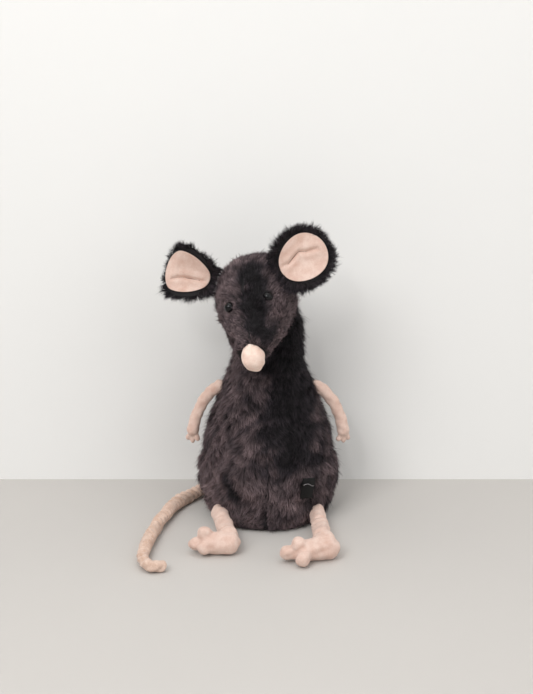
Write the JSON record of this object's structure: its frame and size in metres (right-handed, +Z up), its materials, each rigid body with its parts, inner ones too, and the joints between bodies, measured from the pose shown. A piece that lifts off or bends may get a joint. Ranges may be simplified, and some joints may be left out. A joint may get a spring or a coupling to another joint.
{
  "type": "seated plush rat",
  "caption": "Seated soft-toy rat in dark long-pile plush with pink velour ear linings, nose, arms, feet and gathered tail.",
  "frame": {"origin": "on the table under the torso's axis, at the middle of the flat seat", "axes": "+Z up, the toy faces -Y, its own left side is +X"},
  "size_m": [0.1963, 0.2288, 0.2794],
  "materials": {
    "charcoal_plush": "long-pile plush",
    "pink_velour": "short-pile velour",
    "tail_velour": "gathered short-pile velour",
    "fibre_filling": "loose polyester fibre",
    "bag_cloth": "woven lining",
    "pellets": "beads, taken as one body",
    "washer_plastic": "moulded",
    "eye_plastic": "polished",
    "label_satin": "woven satin",
    "thread": "twisted thread"
  },
  "bodies": {
    "torso": {"pellet_bag": "bag_cloth", "pellets": "pellets", "side_label": "label_satin", "torso_back_left_panel": "charcoal_plush", "torso_back_right_panel": "charcoal_plush", "torso_base_panel": "charcoal_plush", "torso_front_left_panel": "charcoal_plush", "torso_front_right_panel": "charcoal_plush", "torso_stuffing": "fibre_filling"},
    "neck": {"neck_stuffing": "fibre_filling"},
    "neck_ring": {"neck_seam_thread": "thread"},
    "head": {"eye_left": "eye_plastic", "eye_right": "eye_plastic", "eye_washer_left": "washer_plastic", "eye_washer_right": "washer_plastic", "head_back_panel": "charcoal_plush", "head_chin_panel": "charcoal_plush", "head_left_panel": "charcoal_plush", "head_right_panel": "charcoal_plush", "head_stuffing": "fibre_filling", "nose_cap": "pink_velour", "nose_stuffing": "fibre_filling"},
    "ear_left": {"ear_left_back": "charcoal_plush", "ear_left_lining": "pink_velour"},
    "ear_right": {"ear_right_back": "charcoal_plush", "ear_right_lining": "pink_velour"},
    "arm_left": {"arm_left_sleeve": "pink_velour", "arm_left_stuffing": "fibre_filling"},
    "arm_right": {"arm_right_sleeve": "pink_velour", "arm_right_stuffing": "fibre_filling"},
    "leg_left": {"leg_left_sleeve": "pink_velour", "leg_left_stuffing": "fibre_filling"},
    "leg_right": {"leg_right_sleeve": "pink_velour", "leg_right_stuffing": "fibre_filling"},
    "foot_left": {"foot_left_sleeve": "pink_velour", "foot_left_stuffing": "fibre_filling"},
    "foot_right": {"foot_right_sleeve": "pink_velour", "foot_right_stuffing": "fibre_filling"},
    "tail_root": {"tail_root_sleeve": "tail_velour", "tail_root_stuffing": "fibre_filling"},
    "tail_middle": {"tail_middle_sleeve": "tail_velour", "tail_middle_stuffing": "fibre_filling"},
    "tail_tip": {"tail_tip_sleeve": "tail_velour", "tail_tip_stuffing": "fibre_filling"}
  },
  "joints": [
    {"name": "neck_turn", "type": "hinge", "parent": "torso", "child": "neck", "pos_m": [0, 0, 0.183], "axis": [0, 0, 1], "range_deg": [-40, 40], "stiffness_Nm_per_rad": 0.05},
    {"name": "neck_tilt", "type": "hinge", "parent": "neck", "child": "neck_ring", "pos_m": [0, 0, 0.183], "axis": [0, 1, 0], "range_deg": [-18, 18], "stiffness_Nm_per_rad": 0.08},
    {"name": "head_nod", "type": "hinge", "parent": "neck_ring", "child": "head", "pos_m": [0, 0, 0.183], "axis": [-1, 0, 0], "range_deg": [-5, 35], "stiffness_Nm_per_rad": 0.08},
    {"name": "ear_left_flap", "type": "hinge", "parent": "head", "child": "ear_left", "pos_m": [0.00916, -0.03986, 0.23563], "axis": [0.6208, -0.0989, -0.7777], "range_deg": [-20, 45], "stiffness_Nm_per_rad": 0.01},
    {"name": "ear_right_flap", "type": "hinge", "parent": "head", "child": "ear_right", "pos_m": [-0.04816, -0.01833, 0.22812], "axis": [0.3046, 0.034, 0.9519], "range_deg": [-35, 35], "stiffness_Nm_per_rad": 0.01},
    {"name": "arm_left_swing", "type": "hinge", "parent": "torso", "child": "arm_left", "pos_m": [0.0465, 0, 0.124], "axis": [-1, 0, 0], "range_deg": [-30, 110]},
    {"name": "arm_right_swing", "type": "hinge", "parent": "torso", "child": "arm_right", "pos_m": [-0.0465, 0, 0.124], "axis": [-1, 0, 0], "range_deg": [-30, 110]},
    {"name": "leg_left_swing", "type": "hinge", "parent": "torso", "child": "leg_left", "pos_m": [0.04636, -0.04636, 0.017], "axis": [-0.9991, -0.0418, 0], "range_deg": [-20, 24]},
    {"name": "leg_right_swing", "type": "hinge", "parent": "torso", "child": "leg_right", "pos_m": [-0.04636, -0.04636, 0.017], "axis": [-0.9775, -0.211, 0], "range_deg": [-20, 24]},
    {"name": "foot_left_turn", "type": "hinge", "parent": "leg_left", "child": "foot_left", "pos_m": [0.049, -0.1095, 0.0094], "axis": [0, 0, 1], "range_deg": [-30, 25]},
    {"name": "foot_right_turn", "type": "hinge", "parent": "leg_right", "child": "foot_right", "pos_m": [-0.035, -0.099, 0.0094], "axis": [0, 0, 1], "range_deg": [-12, 30]},
    {"name": "tail_swing", "type": "hinge", "parent": "torso", "child": "tail_root", "pos_m": [0, 0.05903, 0.0078], "axis": [0, 0, -1], "range_deg": [0, 45]},
    {"name": "tail_mid_bend", "type": "hinge", "parent": "tail_root", "child": "tail_middle", "pos_m": [-0.08797, -0.00246, 0.007], "axis": [0, 0, 1], "range_deg": [-35, 8]},
    {"name": "tail_tip_bend", "type": "hinge", "parent": "tail_middle", "child": "tail_tip", "pos_m": [-0.10847, -0.11096, 0.0062], "axis": [0, 0, 1], "range_deg": [-35, 20]}
  ]
}
